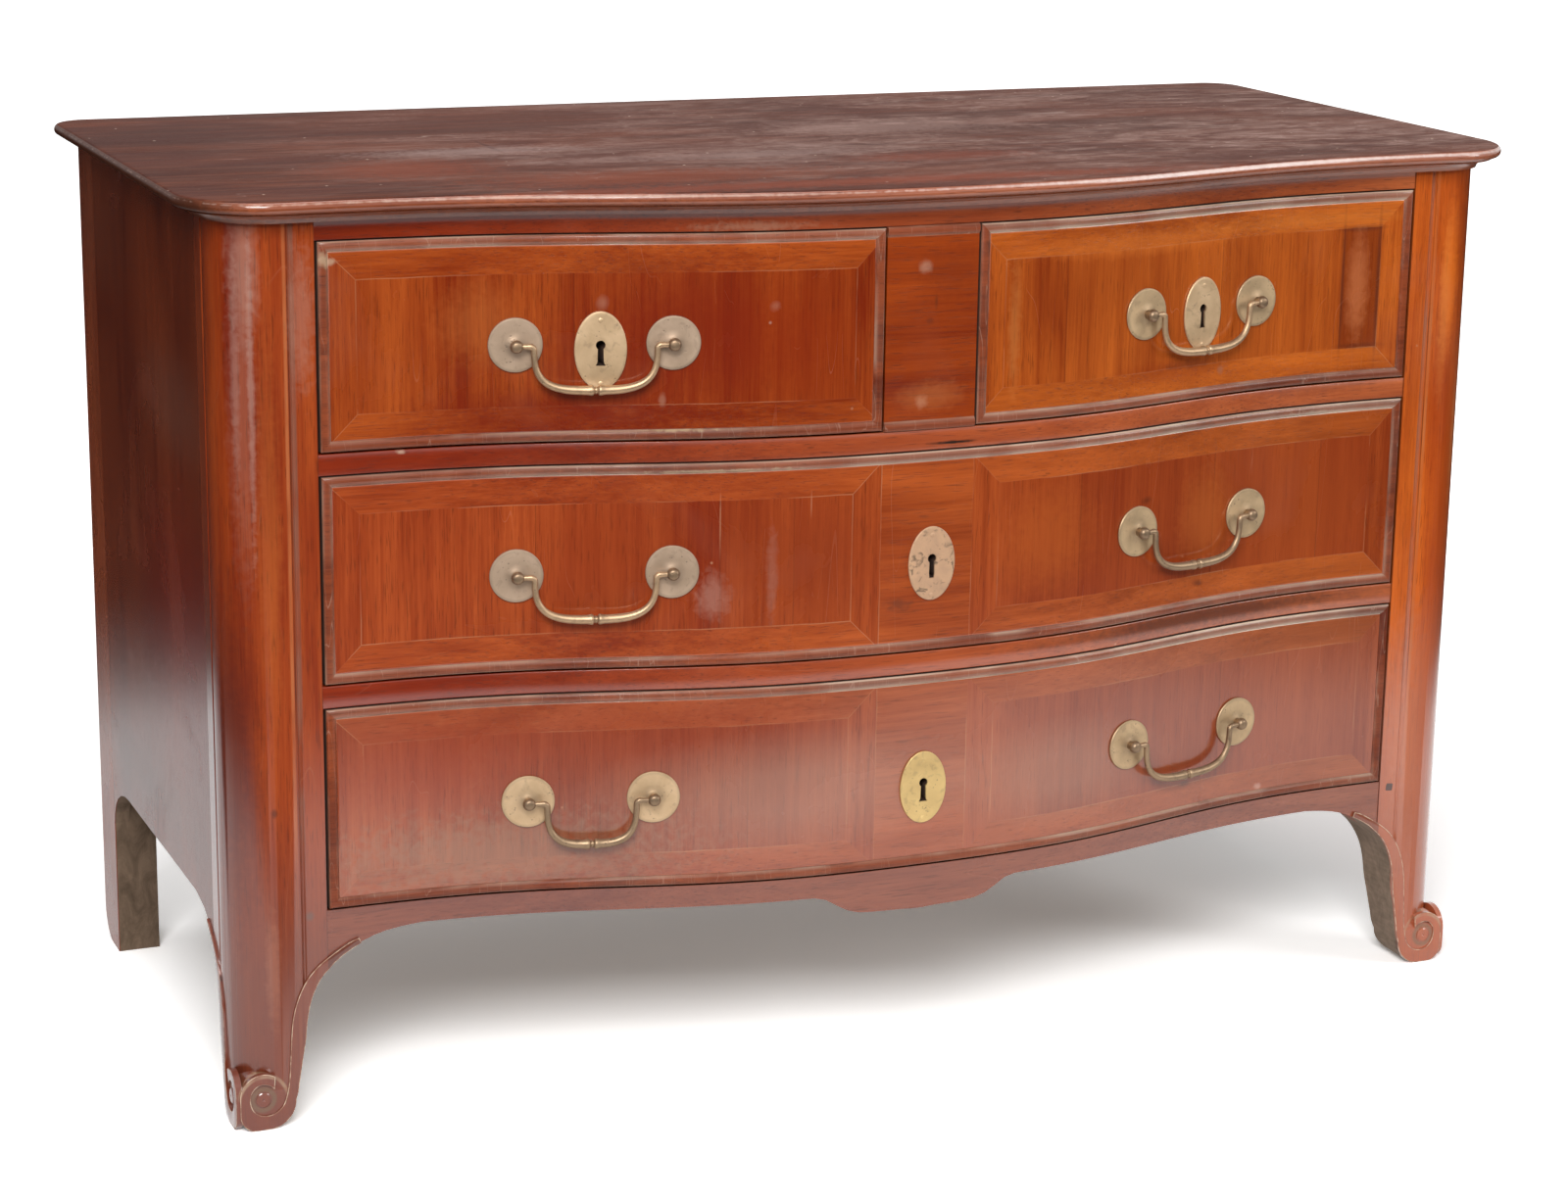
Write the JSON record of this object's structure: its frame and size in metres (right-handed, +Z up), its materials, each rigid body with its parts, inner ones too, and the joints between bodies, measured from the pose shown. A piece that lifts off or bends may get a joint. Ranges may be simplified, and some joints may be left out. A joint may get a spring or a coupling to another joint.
{
  "type": "chest of drawers",
  "caption": "Low chest of drawers with a serpentine front, a moulded top and scrolled front feet; the drawers slide out by hinged brass bail handles.",
  "frame": {"origin": "centre of the bounding box at floor level", "axes": "+X to the right along the front, +Y to the back, +Z up"},
  "size_m": [1.333, 0.6852, 0.8515],
  "materials": {
    "mahogany": "worn French polish, glossy reddish brown",
    "top_mahogany": "dusty scuffed polish, dull brown",
    "front_veneer": "polished veneer with crossbanding and light stringing",
    "secondary_wood": "unfinished, dull",
    "old_brass": "dull aged brass"
  },
  "bodies": {
    "case": {"top": "top_mahogany", "left_front_stile": "mahogany", "right_front_stile": "mahogany", "left_back_post": "mahogany", "right_back_post": "mahogany", "left_side_panel": "mahogany", "right_side_panel": "mahogany", "upper_back_board": "secondary_wood", "lower_back_board": "secondary_wood", "top_rail": "mahogany", "upper_rail": "mahogany", "middle_rail": "mahogany", "apron": "mahogany", "centre_panel": "front_veneer", "centre_guide": "secondary_wood", "upper_dust_board": "secondary_wood", "middle_dust_board": "secondary_wood", "lower_dust_board": "secondary_wood"},
    "left_drawer": {"left_drawer_front": "front_veneer", "left_drawer_left_side": "secondary_wood", "left_drawer_right_side": "secondary_wood", "left_drawer_bottom": "secondary_wood", "left_drawer_back": "secondary_wood", "top_left_left_post": "old_brass", "top_left_right_post": "old_brass", "top_left_escutcheon": "old_brass"},
    "right_drawer": {"right_drawer_front": "front_veneer", "right_drawer_left_side": "secondary_wood", "right_drawer_right_side": "secondary_wood", "right_drawer_bottom": "secondary_wood", "right_drawer_back": "secondary_wood", "top_right_left_post": "old_brass", "top_right_right_post": "old_brass", "top_right_escutcheon": "old_brass"},
    "middle_drawer": {"middle_drawer_front": "front_veneer", "middle_drawer_left_side": "secondary_wood", "middle_drawer_right_side": "secondary_wood", "middle_drawer_bottom": "secondary_wood", "middle_drawer_back": "secondary_wood", "middle_left_left_post": "old_brass", "middle_left_right_post": "old_brass", "middle_right_left_post": "old_brass", "middle_right_right_post": "old_brass", "middle_escutcheon": "old_brass"},
    "bottom_drawer": {"bottom_drawer_front": "front_veneer", "bottom_drawer_left_side": "secondary_wood", "bottom_drawer_right_side": "secondary_wood", "bottom_drawer_bottom": "secondary_wood", "bottom_drawer_back": "secondary_wood", "bottom_left_left_post": "old_brass", "bottom_left_right_post": "old_brass", "bottom_right_left_post": "old_brass", "bottom_right_right_post": "old_brass", "bottom_escutcheon": "old_brass"},
    "top_left_bail": {"top_left_bail": "old_brass"},
    "top_right_bail": {"top_right_bail": "old_brass"},
    "middle_left_bail": {"middle_left_bail": "old_brass"},
    "middle_right_bail": {"middle_right_bail": "old_brass"},
    "bottom_left_bail": {"bottom_left_bail": "old_brass"},
    "bottom_right_bail": {"bottom_right_bail": "old_brass"}
  },
  "joints": [
    {"name": "left_drawer_slide", "type": "slide", "parent": "case", "child": "left_drawer", "axis": [0, -1, 0], "range_m": [0, 0.36]},
    {"name": "right_drawer_slide", "type": "slide", "parent": "case", "child": "right_drawer", "axis": [0, -1, 0], "range_m": [0, 0.36]},
    {"name": "middle_drawer_slide", "type": "slide", "parent": "case", "child": "middle_drawer", "axis": [0, -1, 0], "range_m": [0, 0.36]},
    {"name": "bottom_drawer_slide", "type": "slide", "parent": "case", "child": "bottom_drawer", "axis": [0, -1, 0], "range_m": [0, 0.36]},
    {"name": "top_left_bail_hinge", "type": "hinge", "parent": "left_drawer", "child": "top_left_bail", "pos_m": [-0.31116, -0.2771, 0.714], "axis": [-0.9729, 0.2312, 0], "range_deg": [-2, 180]},
    {"name": "top_right_bail_hinge", "type": "hinge", "parent": "right_drawer", "child": "top_right_bail", "pos_m": [0.30419, -0.27861, 0.714], "axis": [-0.9722, -0.2343, 0], "range_deg": [-2, 180]},
    {"name": "middle_left_bail_hinge", "type": "hinge", "parent": "middle_drawer", "child": "middle_left_bail", "pos_m": [-0.31116, -0.2771, 0.504], "axis": [-0.9729, 0.2312, 0], "range_deg": [-2, 180]},
    {"name": "middle_right_bail_hinge", "type": "hinge", "parent": "middle_drawer", "child": "middle_right_bail", "pos_m": [0.30419, -0.27861, 0.504], "axis": [-0.9722, -0.2343, 0], "range_deg": [-2, 180]},
    {"name": "bottom_left_bail_hinge", "type": "hinge", "parent": "bottom_drawer", "child": "bottom_left_bail", "pos_m": [-0.31427, -0.27598, 0.291], "axis": [-0.9725, 0.233, 0], "range_deg": [-2, 180]},
    {"name": "bottom_right_bail_hinge", "type": "hinge", "parent": "bottom_drawer", "child": "bottom_right_bail", "pos_m": [0.30419, -0.27861, 0.291], "axis": [-0.9722, -0.2343, 0], "range_deg": [-2, 180]}
  ]
}
